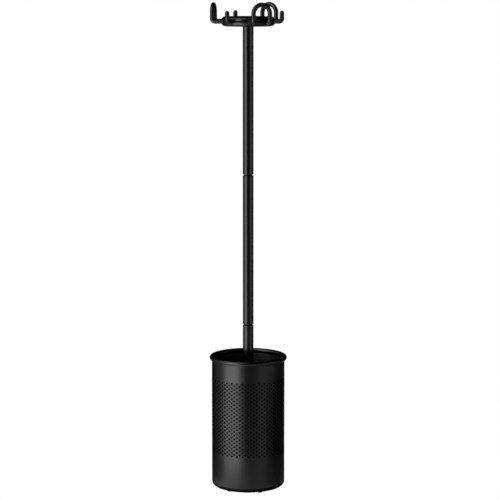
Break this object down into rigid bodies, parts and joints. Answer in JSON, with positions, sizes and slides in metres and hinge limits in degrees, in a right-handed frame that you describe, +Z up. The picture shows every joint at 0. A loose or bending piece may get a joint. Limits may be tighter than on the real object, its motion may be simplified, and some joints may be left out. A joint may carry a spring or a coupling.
{
  "type": "standing coat rack",
  "caption": "Free-standing coat rack: a pole with a round head of arch and peg hooks, rising from a perforated umbrella basket with a weighted floor.",
  "frame": {"origin": "on the pole's axis at floor level, the underside of the rubber feet", "axes": "+Z up along the pole, +X along the first peg hook"},
  "size_m": [0.2766, 0.2766, 1.7257],
  "materials": {
    "black_enamel": "satin black stove enamel on steel",
    "black_moulding": "satin black moulded plastic",
    "matt_moulding": "matt black moulded plastic",
    "rubber": "matt black rubber",
    "cast_iron": "raw casting",
    "zinc_steel": "bright zinc-plated steel"
  },
  "bodies": {
    "root": {"basket_wall": "black_enamel", "rim_ring": "black_enamel", "floor_plate": "black_enamel", "ballast_disc": "cast_iron", "drip_liner": "matt_moulding", "rubber_foot_1": "rubber", "rubber_foot_2": "rubber", "rubber_foot_3": "rubber", "rubber_foot_4": "rubber", "rubber_foot_5": "rubber", "rubber_foot_6": "rubber", "ballast_screw_1": "zinc_steel", "ballast_screw_2": "zinc_steel", "ballast_screw_3": "zinc_steel", "anchor_bolt": "zinc_steel", "anchor_washer": "zinc_steel", "foot_plug": "black_enamel", "pole_lower": "black_enamel", "pole_middle": "black_enamel", "pole_upper": "black_enamel", "lower_joint_socket": "matt_moulding", "lower_joint_plug": "matt_moulding", "lower_joint_stud": "zinc_steel", "upper_joint_socket": "matt_moulding", "upper_joint_plug": "matt_moulding", "upper_joint_stud": "zinc_steel", "head_plug": "zinc_steel", "head_bolt": "zinc_steel", "head_washer": "zinc_steel", "hook_carrier_lower": "matt_moulding", "hook_carrier_upper": "matt_moulding", "head_lower_shell": "black_moulding", "head_upper_shell": "black_moulding", "centre_cap": "black_moulding", "shell_screw_1": "zinc_steel", "shell_screw_2": "zinc_steel", "shell_screw_3": "zinc_steel", "peg_hook_1": "black_moulding", "peg_hook_2": "black_moulding", "peg_hook_3": "black_moulding", "arch_hook_1": "black_moulding", "arch_hook_2": "black_moulding", "arch_hook_3": "black_moulding"}
  },
  "joints": []
}
